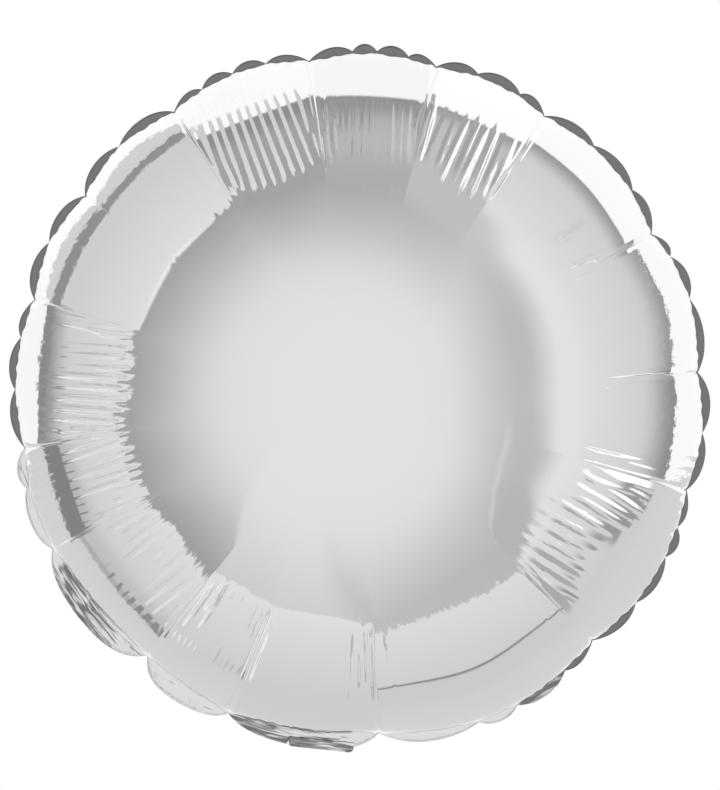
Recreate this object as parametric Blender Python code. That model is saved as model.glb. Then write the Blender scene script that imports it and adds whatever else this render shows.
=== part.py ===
"""Round foil balloon, inflated: two foil panels welded at the rim, and a flat tail with its valve.

Metres, +Z up. The balloon faces -Y and its tail is at the bottom. The origin is the balloon's
centre, on the plane of the rim seam. Angles round the rim are in degrees from +X towards +Z.
"""

from math import asin, cos, degrees, pi, radians, sin, sqrt

import bmesh
import bpy
from mathutils import Matrix, Vector

# The foil discs as cut, and the radius that their weld shrinks to when gas fills them.
# A flat disc that is inflated without stretching is this many rim radii from pole to rim.
FLAT_DIAMETER = 0.457
SEAM_WIDTH = 0.005
POLE_TO_RIM = 1.31103
RIM_RADIUS = (FLAT_DIAMETER / 2 - SEAM_WIDTH) / POLE_TO_RIM

# Walls: solid stand-ins for film that is really 0.03 mm thick
FOIL = 0.0008
SEAM_THICKNESS = 0.001
SEAM_INSIDE = 0.003
GAP = 0.0003

# The film gathers into creases at the rim, and bulges into a lobe between each two of them.
# Each row: crease angle, crease depth below the plain rim in mm, reach of the lobe that follows
# beyond it in mm, and the angles of the small notches that cut that lobe's edge into scallops.
LOBES = (
    (3.9, 4.2, 1.5, (16.3, 24.0)),
    (28.8, 7.0, 1.5, (36.8, 46.6)),
    (56.3, 6.5, 1.0, (61.7, 69.5)),
    (76.6, 5.5, 1.5, (81.5, 86.8, 90.9)),
    (98.3, 5.5, 1.5, (105.5, 111.3, 117.0)),
    (122.9, 5.5, 2.0, (133.8,)),
    (143.8, 5.5, 1.5, (153.6,)),
    (163.5, 6.0, 1.0, (170.2, 179.0)),
    (188.9, 6.0, 1.5, (195.6,)),
    (206.7, 3.5, 3.0, (218.6,)),
    (231.0, 7.5, 2.5, (239.5,)),
    (247.8, 3.0, 2.5, ()),
    (273.6, 5.5, 3.0, (290.4, 297.3, 307.0)),
    (313.8, 5.0, 2.5, (323.3, 332.3, 337.6)),
    (344.0, 3.5, 2.0, (353.8,)),
)
NOTCH_DEPTH = 0.004
CREASE_SHARPNESS = 8
NOTCH_SHARPNESS = 4
LOBE_CROWN = 0.0008
COLUMNS_PER_SCALLOP = 4

# Where creases and notches run out, as a share of the rim radius
CREASE_START, CREASE_FULL = 0.58, 0.97
NOTCH_START, NOTCH_FULL = 0.88, 1.0

# Rings of a panel, as the film's lean from the seam plane in degrees, each with the share of
# the columns that it keeps: 1 keeps all, 4 keeps every fourth.
OUTER_RINGS = ((90, 1), (80, 1), (68, 1), (56, 1), (46, 2), (37, 2), (28, 2), (20, 4), (11, 4), (4, 4))
INNER_RINGS = ((90, 2), (80, 2), (68, 2), (56, 2), (46, 2), (37, 4), (28, 4), (20, 4), (11, 4), (4, 4))
POLE_FLAT_RADIUS = 0.02

# Tail: a flat tube of two foil strips with the two valve films between them, folded back at its
# root. Its middle line runs straight, then bends with the dome, then runs straight to the mouth.
TAIL_ANGLE = 264.0
TAIL_WIDTH = 0.033
TAIL_ROOT_RUN = 0.010
TAIL_BEND_RUN = 0.036
TAIL_BEND_RADIUS = 0.100
TAIL_MOUTH_RUN = 0.028
TAIL_LENGTH = TAIL_ROOT_RUN + TAIL_BEND_RUN + TAIL_MOUTH_RUN
TAIL_FOIL = 0.0006
TAIL_SEAM_WIDTH = 0.004
VALVE_FILM = 0.0004
VALVE_SHORT = 0.003
FILL_NOTCH_RADIUS = 0.008
NECK_REACH = 0.0047

# The tail's layers, measured outwards from its middle line
VALVE_LAYER = GAP / 2
VALVE_TOP = VALVE_LAYER + VALVE_FILM
FOIL_LAYER = VALVE_TOP + GAP
TAIL_HALF = FOIL_LAYER + TAIL_FOIL

# The neck's flange is cut straight across, and the tail folds about a line just outside it
NECK_EDGE = RIM_RADIUS + NECK_REACH
FOLD_RADIUS = NECK_EDGE + GAP + TAIL_HALF
NECK_HALF_ANGLE = degrees(asin((TAIL_WIDTH / 2 + GAP) / NECK_EDGE))

SILVER = (0.86, 0.86, 0.87, 1.0)
SEAM_SILVER = (0.52, 0.53, 0.54, 1.0)
CLEAR_FILM = (0.85, 0.87, 0.88, 1.0)


def clear_scene():
    """Remove whatever objects the file opened with."""
    for obj in list(bpy.data.objects):
        bpy.data.objects.remove(obj, do_unlink=True)


def make_material(name, colour, roughness, metallic):
    """A Principled BSDF in one plain colour."""
    material = bpy.data.materials.new(name)
    material.use_nodes = True
    shader = material.node_tree.nodes["Principled BSDF"]
    shader.inputs["Base Color"].default_value = colour
    shader.inputs["Roughness"].default_value = roughness
    shader.inputs["Metallic"].default_value = metallic
    return material


def make_object(name, bm, material, sharp_angle=40):
    """Turn a bmesh into a smooth-shaded object that keeps its sharp edges."""
    bmesh.ops.recalc_face_normals(bm, faces=bm.faces)
    mesh = bpy.data.meshes.new(name)
    bm.to_mesh(mesh)
    bm.free()
    mesh.shade_smooth()
    mesh.set_sharp_from_angle(angle=radians(sharp_angle))
    mesh.materials.append(material)
    obj = bpy.data.objects.new(name, mesh)
    bpy.context.collection.objects.link(obj)
    return obj


def ease(value, start, full):
    """Smooth rise from 0 at start to 1 at full."""
    share = min(max((value - start) / (full - start), 0.0), 1.0)
    return share * share * (3 - 2 * share)


def dome_point(lean):
    """Radius and height of the plain inflated dome where its film leans by lean radians."""
    steps = 60
    width = (pi / 2 - lean) / steps
    rise = sum(sqrt(sin(lean + (i + 0.5) * width)) for i in range(steps)) * width
    return RIM_RADIUS * sqrt(sin(lean)), RIM_RADIUS / 2 * rise


def cusp(share, before, after, sharpness):
    """Depth between two notches: full at both ends, with a bulging run between them."""
    return before * (1 - share) ** sharpness + after * share ** sharpness


def stations():
    """Angles of the creases, notches and neck corners in order, each with its notch depth."""
    rows = []
    for crease, _, _, notches in LOBES:
        rows.append((crease, 0.0))
        rows += [(notch, NOTCH_DEPTH) for notch in notches]
    rows += [(TAIL_ANGLE - NECK_HALF_ANGLE, 0.0), (TAIL_ANGLE + NECK_HALF_ANGLE, 0.0)]
    return sorted(rows)


def crease_height(angle):
    """How far the film stands off the plain dome at the rim, by the creases and lobes alone."""
    count = len(LOBES)
    for i, (crease, depth, reach, _) in enumerate(LOBES):
        following, next_depth = LOBES[(i + 1) % count][:2]
        width = (following - crease) % 360
        share = ((angle - crease) % 360) / width
        if share < 1:
            crown = LOBE_CROWN * 4 * share * (1 - share)
            fold = cusp(share, depth + reach, next_depth + reach, CREASE_SHARPNESS)
            return crown + (reach - fold) / 1000
    return 0.0


def columns():
    """Every column of the envelope as (angle in radians, crease height, notch depth)."""
    rows = stations()
    result = []
    for i, (start, depth) in enumerate(rows):
        end, next_depth = rows[(i + 1) % len(rows)]
        width = (end - start) % 360
        for k in range(COLUMNS_PER_SCALLOP):
            share = (1 - cos(pi * k / COLUMNS_PER_SCALLOP)) / 2
            angle = start + width * share
            notch = cusp(share, depth, next_depth, NOTCH_SHARPNESS)
            result.append((radians(angle), crease_height(angle), notch))
    return result


def film_height(column, spread):
    """Height of the film over the plain dome, on one column at a share of the rim radius."""
    _, crease, notch = column
    return crease * ease(spread, CREASE_START, CREASE_FULL) - notch * ease(spread, NOTCH_START, NOTCH_FULL)


def rim_point(angle, radius, y):
    """A point in front of or behind the rim's plane, at a radius and angle."""
    return Vector((radius * cos(angle), y, radius * sin(angle)))


def bridge(bm, ring, inner):
    """Join two closed rings of vertices, where ring has a whole number of times as many."""
    ratio = len(ring) // len(inner)
    for i, corner in enumerate(inner):
        following = inner[(i + 1) % len(inner)]
        run = [ring[(i * ratio + k) % len(ring)] for k in range(ratio + 1)]
        if ratio == 1:
            bm.faces.new((run[0], run[1], following, corner))
            continue
        middle = ratio // 2
        for k in range(middle):
            bm.faces.new((run[k], run[k + 1], corner))
        bm.faces.new((corner, run[middle], following))
        for k in range(middle, ratio):
            bm.faces.new((run[k], run[k + 1], following))


def panel_rings(bm, all_columns, rings, inset, side, foot):
    """Rings of vertices over one face of a panel, from its foot at the rim to its flat pole."""
    result = []
    pole_lean = asin((POLE_FLAT_RADIUS / RIM_RADIUS) ** 2)
    for lean, keep in [(radians(a), k) for a, k in rings] + [(pole_lean, rings[-1][1])]:
        radius, height = dome_point(lean)
        verts = []
        for column in all_columns[::keep]:
            lift = film_height(column, radius / RIM_RADIUS) - inset
            y = max(height + lift * cos(lean), foot)
            verts.append(bm.verts.new(rim_point(column[0], radius + lift * sin(lean), side * y)))
        result.append(verts)
    return result


def make_panel(name, material, side):
    """One foil disc, blown into a dome with creases: side is -1 for the front, 1 for the back."""
    all_columns = columns()
    foot = SEAM_THICKNESS / 2 + GAP
    bm = bmesh.new()
    outer = panel_rings(bm, all_columns, OUTER_RINGS, 0.0, side, foot)
    inner = panel_rings(bm, all_columns, INNER_RINGS, FOIL, side, foot)
    for rings in (outer, inner):
        for ring, following in zip(rings, rings[1:]):
            bridge(bm, ring, following)
        bm.faces.new(rings[-1])
    bridge(bm, outer[0], inner[0])
    return make_object(name, bm, material)


def flange_radius(column):
    """Outer edge of the rim seam: it follows the scallops, and is straight across the neck."""
    away = (degrees(column[0]) - TAIL_ANGLE + 180) % 360 - 180
    if abs(away) <= NECK_HALF_ANGLE + 0.01:
        return NECK_EDGE / cos(radians(away))
    return RIM_RADIUS + film_height(column, 1.0) + SEAM_WIDTH


def make_rim_seam(material):
    """The welded ring where the two discs meet, scalloped like the lobes that it holds."""
    bm = bmesh.new()
    half = SEAM_THICKNESS / 2
    loops = [[], [], [], []]
    for column in columns():
        inside = RIM_RADIUS + film_height(column, 1.0) - SEAM_INSIDE
        outside = flange_radius(column)
        corners = ((inside, -half), (outside, -half), (outside, half), (inside, half))
        for loop, (radius, y) in zip(loops, corners):
            loop.append(bm.verts.new(rim_point(column[0], radius, y)))
    for i, loop in enumerate(loops):
        bridge(bm, loop, loops[(i + 1) % len(loops)])
    return make_object("rim_seam", bm, material)


def tail_frame():
    """Matrix of the fold line: X along the fold, Y backwards, Z outwards from the balloon."""
    angle = radians(TAIL_ANGLE)
    outwards = Vector((cos(angle), 0, sin(angle)))
    backwards = Vector((0, 1, 0))
    along = backwards.cross(outwards)
    turn = Matrix((along, backwards, outwards)).transposed().to_4x4()
    return Matrix.Translation(FOLD_RADIUS * outwards) @ turn


def tail_point(run, across, layer):
    """A point of the tail: run from the fold, across its width, layer outwards from its middle."""
    bend = min(max(run - TAIL_ROOT_RUN, 0.0), TAIL_BEND_RUN) / TAIL_BEND_RADIUS
    back = min(run, TAIL_ROOT_RUN) + TAIL_BEND_RADIUS * sin(bend)
    inward = TAIL_BEND_RADIUS * (1 - cos(bend))
    past = max(run - TAIL_ROOT_RUN - TAIL_BEND_RUN, 0.0)
    back += past * cos(bend) + layer * sin(bend)
    return Vector((across, back, layer * cos(bend) - inward - past * sin(bend)))


def make_tail_strip(name, material, layers, edges, length):
    """A strip of the tail between two layers and two edges, from the fold to a length."""
    low, high = layers
    left, right = edges
    bends = [TAIL_ROOT_RUN + TAIL_BEND_RUN * k / 4 for k in range(5)]
    bm = bmesh.new()
    rings = []
    for run in [0.0] + bends + [length]:
        corners = ((left, low), (right, low), (right, high), (left, high))
        rings.append([bm.verts.new(tail_point(run, across, layer)) for across, layer in corners])
    for ring, following in zip(rings, rings[1:]):
        bridge(bm, ring, following)
    bm.faces.new(rings[0])
    bm.faces.new(rings[-1])
    return make_object(name, bm, material)


def cut_fill_notch(strip):
    """Cut the half-round notch in the outer foil's mouth, where the filling nozzle finds the valve."""
    bend = TAIL_BEND_RUN / TAIL_BEND_RADIUS
    bm = bmesh.new()
    bmesh.ops.create_cone(
        bm,
        cap_ends=True,
        segments=24,
        radius1=FILL_NOTCH_RADIUS,
        radius2=FILL_NOTCH_RADIUS,
        depth=4 * TAIL_FOIL,
        matrix=Matrix.Translation(tail_point(TAIL_LENGTH, 0, FOIL_LAYER + TAIL_FOIL / 2))
        @ Matrix.Rotation(-bend, 4, "X"),
    )
    mesh = bpy.data.meshes.new("fill_notch_cutter")
    bm.to_mesh(mesh)
    bm.free()
    cutter = bpy.data.objects.new("fill_notch_cutter", mesh)
    cutter.hide_render = True
    cutter.display_type = "WIRE"
    bpy.context.collection.objects.link(cutter)
    notch = strip.modifiers.new("fill_notch", "BOOLEAN")
    notch.operation = "DIFFERENCE"
    notch.object = cutter
    return cutter


def make_tail(foil, seam, film):
    """The tail's strips, all parented to the fold line that they turn about."""
    half = TAIL_WIDTH / 2
    seam_edge = half - TAIL_SEAM_WIDTH
    valve_edge = seam_edge - GAP
    valve_length = TAIL_LENGTH - VALVE_SHORT
    full = (-half, half)
    valve = (-valve_edge, valve_edge)
    between = (-VALVE_TOP, VALVE_TOP)
    outer = make_tail_strip("tail_outer_foil", foil, (FOIL_LAYER, TAIL_HALF), full, TAIL_LENGTH)
    pieces = [
        outer,
        make_tail_strip("tail_inner_foil", foil, (-TAIL_HALF, -FOIL_LAYER), full, TAIL_LENGTH),
        make_tail_strip("tail_left_seam", seam, between, (-half, -seam_edge), TAIL_LENGTH),
        make_tail_strip("tail_right_seam", seam, between, (seam_edge, half), TAIL_LENGTH),
        make_tail_strip("valve_outer_film", film, (VALVE_LAYER, VALVE_TOP), valve, valve_length),
        make_tail_strip("valve_inner_film", film, (-VALVE_TOP, -VALVE_LAYER), valve, valve_length),
        cut_fill_notch(outer),
    ]
    fold = bpy.data.objects.new("tail_fold", None)
    fold.matrix_world = tail_frame()
    bpy.context.collection.objects.link(fold)
    for piece in pieces:
        piece.parent = fold


def build():
    """Build the balloon."""
    clear_scene()
    foil = make_material("silver_foil", SILVER, 0.12, 1.0)
    seam = make_material("welded_foil", SEAM_SILVER, 0.35, 1.0)
    film = make_material("clear_valve_film", CLEAR_FILM, 0.2, 0.0)
    make_panel("front_panel", foil, -1)
    make_panel("back_panel", foil, 1)
    make_rim_seam(seam)
    make_tail(foil, seam, film)


build()
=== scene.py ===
from math import asin, cos, degrees, pi, radians, sin, sqrt

import bpy
import numpy as np
from mathutils import Matrix, Vector


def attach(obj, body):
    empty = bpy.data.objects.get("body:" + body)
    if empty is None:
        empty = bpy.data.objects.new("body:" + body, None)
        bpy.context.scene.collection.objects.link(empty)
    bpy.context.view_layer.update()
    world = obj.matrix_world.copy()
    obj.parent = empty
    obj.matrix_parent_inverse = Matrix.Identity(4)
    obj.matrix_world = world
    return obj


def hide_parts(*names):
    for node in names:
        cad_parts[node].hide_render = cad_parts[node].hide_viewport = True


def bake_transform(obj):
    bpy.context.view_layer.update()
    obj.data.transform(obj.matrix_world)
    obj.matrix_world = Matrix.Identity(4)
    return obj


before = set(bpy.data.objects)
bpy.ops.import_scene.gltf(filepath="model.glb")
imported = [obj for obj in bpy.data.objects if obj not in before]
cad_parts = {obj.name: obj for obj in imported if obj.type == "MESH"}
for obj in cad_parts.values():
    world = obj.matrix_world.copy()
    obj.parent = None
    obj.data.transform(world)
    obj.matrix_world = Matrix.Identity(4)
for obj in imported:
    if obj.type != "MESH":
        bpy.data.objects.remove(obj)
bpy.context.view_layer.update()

# The studio: a level camera a little over two metres in front of the floating balloon, a pale
# floor well below it, and soft panels all round that the silver film mirrors.
CAMERA_LENS = 200.0
SENSOR = 36.0
PICTURE_HEIGHT = 0.3972
CAMERA_DISTANCE = PICTURE_HEIGHT * CAMERA_LENS / SENSOR
AIM = Vector((0.0011, 0.0, 0.0003))
FLOOR_LEVEL = -1.15
FLOOR_RADIUS = 5.0
FLOOR_TONE = 0.93
FLOOR_SIDES = 96
FILM_MIRROR = 0.90
COOLNESS = 1.005

scene = bpy.context.scene
scene.view_settings.view_transform = "Standard"

camera_data = bpy.data.cameras.new("camera")
camera_data.lens = CAMERA_LENS
camera_data.sensor_width = SENSOR
camera_data.clip_start = 0.05
camera_data.clip_end = 40.0
camera = bpy.data.objects.new("camera", camera_data)
camera.location = AIM + Vector((0, -CAMERA_DISTANCE, 0))
camera.rotation_euler = (pi / 2, 0, 0)
scene.collection.objects.link(camera)
scene.camera = camera


def add_node(tree, kind, **settings):
    """A shader or geometry node with its properties set."""
    made = tree.nodes.new(kind)
    for name, value in settings.items():
        setattr(made, name, value)
    return made


def feed(tree, socket, source):
    """Link a node's output to a socket, or set the socket to a plain value."""
    if isinstance(source, bpy.types.NodeSocket):
        tree.links.new(source, socket)
    elif source is not None:
        socket.default_value = source


def feed_all(tree, sockets, sources):
    """Feed several sockets in turn."""
    for socket, source in zip(sockets, sources):
        feed(tree, socket, source)


def math_node(tree, operation, *sources):
    """The result of a Math node."""
    made = add_node(tree, "ShaderNodeMath", operation=operation)
    feed_all(tree, made.inputs, sources)
    return made.outputs[0]


def product(tree, first, *others):
    """Two or more numbers multiplied."""
    for other in others:
        first = math_node(tree, "MULTIPLY", first, other)
    return first


def rise(tree, source, start, full):
    """Smooth step from 0 at start to 1 at full."""
    made = add_node(tree, "ShaderNodeMapRange", interpolation_type="SMOOTHSTEP")
    feed_all(tree, made.inputs, (source, start, full, 0.0, 1.0))
    return made.outputs[0]


def span(tree, source, start, full, fading, gone):
    """Rise from 0 at start to 1 at full, and fall from 1 at fading to 0 at gone."""
    return product(tree, rise(tree, source, start, full), rise(tree, source, gone, fading))


def blend_colours(tree, share, first, second):
    """Mix two colours."""
    made = add_node(tree, "ShaderNodeMix", data_type="RGBA", clamp_factor=True)
    feed_all(tree, (made.inputs[0], made.inputs[6], made.inputs[7]), (share, first, second))
    return made.outputs[2]


def clouds(tree, dimensions="3D", **sources):
    """Soft random clouds round 0.5."""
    made = add_node(tree, "ShaderNodeTexNoise", noise_dimensions=dimensions)
    for name, source in sources.items():
        feed(tree, made.inputs[name], source)
    return made.outputs[0]


def grey(level):
    """A neutral colour."""
    return level, level, level, 1


def film_light(tone, coolness=COOLNESS):
    """The light that shows as a picture tone from 0 to 1 once the film has mirrored it."""
    light = ((tone + 0.055) / 1.055) ** 2.4 / FILM_MIRROR
    return light, light, light * coolness, 1


def ramp(tree, source, full, stops):
    """Colours along a source from 0 to full: each stop is a place and a colour."""
    made = add_node(tree, "ShaderNodeValToRGB")
    feed(tree, made.inputs[0], math_node(tree, "DIVIDE", source, full))
    elements = made.color_ramp.elements
    while len(elements) < len(stops):
        elements.new(0.5)
    for element, (place, colour) in zip(elements, stops):
        element.position = place / full
    for element, (place, colour) in zip(elements, stops):
        element.color = colour
    return made.outputs[0]


def tone_ramp(tree, source, full, stops):
    """Light along a source from 0 to full: each stop is a place and the tone seen in the film."""
    return ramp(tree, source, full, [(place, film_light(tone)) for place, tone in stops])


def number_ramp(tree, source, full, stops, top):
    """Plain numbers up to top along a source from 0 to full."""
    shares = ramp(tree, source, full, [(place, grey(value / top)) for place, value in stops])
    return product(tree, shares, top)


# The front box: a broad soft light round the camera. It is brightest in the middle and falls to an
# edge tone all round, where it gives way to the walls, softly or at a sharp edge. Its tables go by
# azimuth, in degrees round the camera from the right, apart from the first: how far the tone has
# fallen by each share of the way to its edge.
FRONT_MIDDLE = 0.885
FRONT_FALL = (
    (0, 0.0), (0.2, 0.03), (0.35, 0.12), (0.45, 0.26), (0.55, 0.43), (0.65, 0.60), (0.8, 0.80), (1, 1.0),
)
FRONT_EDGE_TONES = (
    (0, 0.74), (29, 0.73), (56, 0.77), (77, 0.70), (98, 0.66), (123, 0.62), (164, 0.63), (189, 0.64),
    (207, 0.62), (229.5, 0.61), (231.5, 0.79), (261, 0.81), (265, 0.765), (267.5, 0.715),
    (276, 0.745), (300, 0.725), (318, 0.715), (344, 0.73), (360, 0.74),
)
# Inside this angle the edge tones bend round, by a share of the square of the way inwards
EDGE_CURVE_START = 52.0
EDGE_CURVE = 0.0095
# Degrees away from the camera where the edge tone is reached and where the box ends, and over how
# many it fades, each with the most that its table may hold
REACH_TOP = 60.0
ENDS_TOP = 70.0
SOFT_TOP = 16.0
FRONT_REACH = (
    (0, 25), (29, 27), (56, 32), (77, 38), (98, 44), (123, 52), (207, 53), (274, 53), (314, 38),
    (344, 27), (360, 25),
)
FRONT_ENDS = (
    (0, 42), (29, 45), (44, 46.5), (54, 51), (57, 48), (97.5, 45), (99, 53), (122, 53), (125, 57),
    (130, 51.5), (163, 51.5), (165, 52.5), (177, 53), (182, 59), (186.5, 63), (188.5, 53.5),
    (195, 53.0), (199, 55.5), (203, 61), (206, 60), (207, 53), (218, 53), (226, 56.5), (230, 53),
    (232, 51), (273, 51), (275, 55), (313, 57), (315, 53), (326, 53.5), (331, 48), (360, 42),
)
FRONT_SOFT = (
    (0, 14), (50, 14), (76, 12), (78, 3), (97, 3), (99, 0.6), (312, 0.6), (316, 5), (326, 7),
    (331, 13), (360, 14),
)
# A curved light edge low on its right side, and the shade beyond it: where the edge lies, and
# each one's spans, how strong it is and its tone
FRONT_ARC = ((0, 24), (310, 50), (313, 44), (318, 33), (325, 28), (335, 25.2), (350, 23.9), (360, 24))
ARC_AZIMUTHS = (311, 316, 345, 353)
ARC_EDGES = (-1.8, -0.3, 0.2, 1.2)
ARC_STRENGTH = 0.42
ARC_TONE = 0.85
SHADE_AZIMUTHS = (333, 326.5)
SHADE_EDGE = (0.2, 2.2)
SHADE_STRENGTH = 0.32
SHADE_TONE = 0.69
# The walls' tones by the angle away from the camera
WALL_TONES = (
    (40, 0.885), (50, 0.88), (56, 0.86), (62, 0.85), (80, 0.825), (100, 0.80), (125, 0.815), (150, 0.82),
    (159, 0.86), (167, 0.98),
)
# Soft panels, flags, cards and strip lamps before the walls, where a later one hides an earlier
# one. Each: azimuths of its two sides and their softness, angles where it fades in and where it
# fades out, and its tone.
STUDIO_PANELS = (
    (47, 68, 12.0, 34, 42, 45, 55, 0.79),  # soft dark end of the ceiling
    (56, 77, 1.0, 28, 42, 101, 103, 0.745),  # ceiling
    (77, 98, 1.0, 32, 42, 104, 106, 0.675),
    (98, 112.3, 0.8, 50, 53, 101, 103, 0.635),
    (77, 95, 3.0, 50, 66, 70, 86, 0.72),  # its lamp shade
    (89.2, 91.4, 0.5, 68, 82, 101, 103, 0.56),
    (77, 98, 1.0, 80, 93, 104, 106, 0.55),  # its dark far edge
    (98, 112.3, 1.0, 80, 93, 101, 103, 0.56),
    (56, 77, 1.0, 86, 98, 101, 103, 0.62),
    (29, 56, 0.8, 90, 107, 111, 113, 0.60),  # soft flags at the right
    (344, 4, 0.8, 84, 116, 119, 121, 0.56),
    (4, 29, 0.8, 90, 117, 119, 121, 0.60),
    (123, 143.8, 0.8, 108.5, 111, 117.5, 119.5, 0.57),  # upper left flags
    (143.8, 164, 0.8, 108.5, 111, 121, 123, 0.56),
    (164, 189, 0.8, 92, 118, 121, 123.5, 0.54),  # left flags
    (178.8, 189, 0.6, 92, 100, 118, 121, 0.60),
    (189, 207, 0.8, 84, 100, 119, 120, 0.72),
    (189, 207, 0.8, 100.5, 102, 119, 120, 0.51),
    (200.0, 207, 0.6, 92, 96, 101, 102, 0.53),
    (189, 195.0, 0.6, 114, 116, 150, 160, 0.80),
    (207, 231, 0.8, 84, 100, 108, 110, 0.75),
    (207, 231, 0.8, 103, 105, 108, 110, 0.68),
    (219.9, 231, 0.8, 99.5, 101.5, 107.5, 109.5, 0.55),
    (274, 313.8, 0.8, 90.5, 91.0, 92.0, 92.5, 0.50),  # dark edge of the floor sheet
    (274, 313.8, 0.8, 91.5, 92.5, 108, 109, 0.795),
    (248, 274, 0.8, 105, 107, 140, 160, 0.80),
    (29, 56, 0.8, 106.5, 107.3, 150, 178, 0.98),  # white cards behind the balloon
    (344, 4, 0.8, 117.5, 118.5, 150, 178, 0.975),
    (4, 29, 0.8, 116, 117, 150, 178, 0.975),
    (56, 77, 1.0, 98.5, 100.5, 150, 178, 0.995),
    (77, 98, 1.0, 98.5, 101, 150, 178, 0.96),
    (98, 112.3, 1.0, 98.5, 100.5, 150, 178, 0.98),
    (112.3, 123, 1.0, 110, 115, 150, 178, 0.98),
    (123, 164, 1.0, 132, 134, 155, 178, 0.985),
    (164, 189, 1.0, 122, 123.5, 150, 178, 0.96),
    (135, 155, 5.0, 51.9, 52.3, 52.7, 53.6, 0.93),  # light edge of the left wall
    (57, 63, 0.8, 53, 57, 101, 104, 1.02),  # strip lamps and dark strips
    (67.8, 76, 1.1, 56, 66, 100, 102, 0.64),
    (69.2, 76, 0.8, 92, 97, 103, 105, 0.65),
    (70.4, 76, 0.8, 92, 97, 107, 109.5, 0.67),
    (79.5, 82.5, 1.2, 54, 64, 92, 99, 0.80),
    (92.5, 96, 1.2, 54, 64, 92, 99, 0.57),
    (329.2, 334.5, 0.5, 74, 88, 97, 100, 0.60),
    (330.6, 334.5, 0.5, 80, 90, 102, 105, 0.60),
    (332.0, 334.8, 0.5, 86, 92, 107, 110, 0.60),
    (338.0, 345, 1.0, 53, 58, 66, 74, 1.02),
    (335.2, 345, 1.0, 60, 68, 98, 106, 1.02),
    (311, 324.0, 1.0, 53, 60, 92, 102, 0.67),
    (180.8, 182.6, 0.8, 60, 64, 98, 110, 0.92),
    (169.8, 171.6, 0.8, 50, 56, 98, 110, 0.72),
    (201.6, 203.2, 0.8, 58, 62, 96, 100, 0.89),
    (192.6, 194.0, 0.8, 50, 56, 96, 100, 0.75),
    (222.4, 223.8, 0.8, 58, 62, 96, 99, 0.88),
    (214, 215.4, 0.8, 50, 56, 96, 99, 0.78),
    (29.9, 30.7, 0.5, 58, 62, 78, 86, 1.0),
    (31.5, 32.3, 0.6, 58, 62, 80, 90, 0.77),
    (38.2, 39.0, 0.7, 60, 66, 84, 92, 0.79),
    (232, 235.5, 0.8, 52, 56, 98, 106, 0.93),
    (243.5, 247, 0.8, 52, 56, 98, 106, 0.72),
    (248.5, 252.5, 0.8, 52, 56, 98, 106, 0.93),
    (269, 273, 0.8, 52, 56, 98, 106, 0.70),
)
# A patch of wall with a faint upright grain, given as a panel is, and the grain's streaks: where
# in the clouds they start and are full, how strong they are, and their light
GRAINED = (78, 97, 2, 42, 56, 94, 103)
GRAIN_STREAKS = ((0.50, 0.68, 0.50, 0.66), (0.50, 0.34, 0.55, 0.38))
GRAIN_PER_DEGREE = 0.75

world = bpy.data.worlds.new("studio")
scene.world = world
world.use_nodes = True
studio = world.node_tree
studio.nodes.clear()
direction = add_node(studio, "ShaderNodeSeparateXYZ")
feed(studio, direction.inputs[0], add_node(studio, "ShaderNodeTexCoord").outputs["Generated"])
to_camera = product(studio, direction.outputs["Y"], -1.0)
away = product(studio, math_node(studio, "ARCCOSINE", to_camera), 180 / pi)
azimuth = math_node(studio, "ARCTAN2", direction.outputs["Z"], direction.outputs["X"])
azimuth = math_node(studio, "WRAP", product(studio, azimuth, 180 / pi), 360.0, 0.0)


def studio_patch(start, end, soft, near, near_full, far_full, far):
    """The part of the studio between two azimuths and two angles, with soft edges."""
    half = ((end - start) % 360) / 2
    off = math_node(studio, "SUBTRACT", azimuth, start + half)
    off = math_node(studio, "ABSOLUTE", math_node(studio, "WRAP", off, 180.0, -180.0))
    between = rise(studio, off, half + soft / 2, half - soft / 2)
    return product(studio, between, rise(studio, away, near, near_full), rise(studio, away, far, far_full))


walls = tone_ramp(studio, away, 180.0, WALL_TONES)
for *place, tone in STUDIO_PANELS:
    walls = blend_colours(studio, studio_patch(*place), walls, film_light(tone))

grain = clouds(studio, "1D", W=product(studio, azimuth, GRAIN_PER_DEGREE), Scale=5.0, Detail=2.0)
grained = studio_patch(*GRAINED)
for start, full, strength, light in GRAIN_STREAKS:
    share = product(studio, rise(studio, grain, start, full), strength, grained)
    walls = blend_colours(studio, share, walls, grey(light))

share = math_node(studio, "DIVIDE", away, number_ramp(studio, azimuth, 360.0, FRONT_REACH, REACH_TOP))
fall = number_ramp(studio, share, 1.0, FRONT_FALL, 1.0)
inwards = math_node(studio, "MAXIMUM", math_node(studio, "SUBTRACT", EDGE_CURVE_START, away), 0.0)
leaning = math_node(studio, "MULTIPLY_ADD", product(studio, inwards, inwards), EDGE_CURVE, azimuth)
front = tone_ramp(studio, leaning, 360.0, FRONT_EDGE_TONES)
front = blend_colours(studio, fall, film_light(FRONT_MIDDLE, 1.0), front)

arc = number_ramp(studio, azimuth, 360.0, FRONT_ARC, REACH_TOP)
past_arc = math_node(studio, "SUBTRACT", away, arc)
near_arc = span(studio, azimuth, *ARC_AZIMUTHS)
on_arc = span(studio, past_arc, *ARC_EDGES)
beyond = product(studio, rise(studio, past_arc, *SHADE_EDGE), rise(studio, azimuth, *SHADE_AZIMUTHS))
for shape, strength, tone in ((beyond, SHADE_STRENGTH, SHADE_TONE), (on_arc, ARC_STRENGTH, ARC_TONE)):
    front = blend_colours(studio, product(studio, shape, near_arc, strength), front, film_light(tone))

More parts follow.
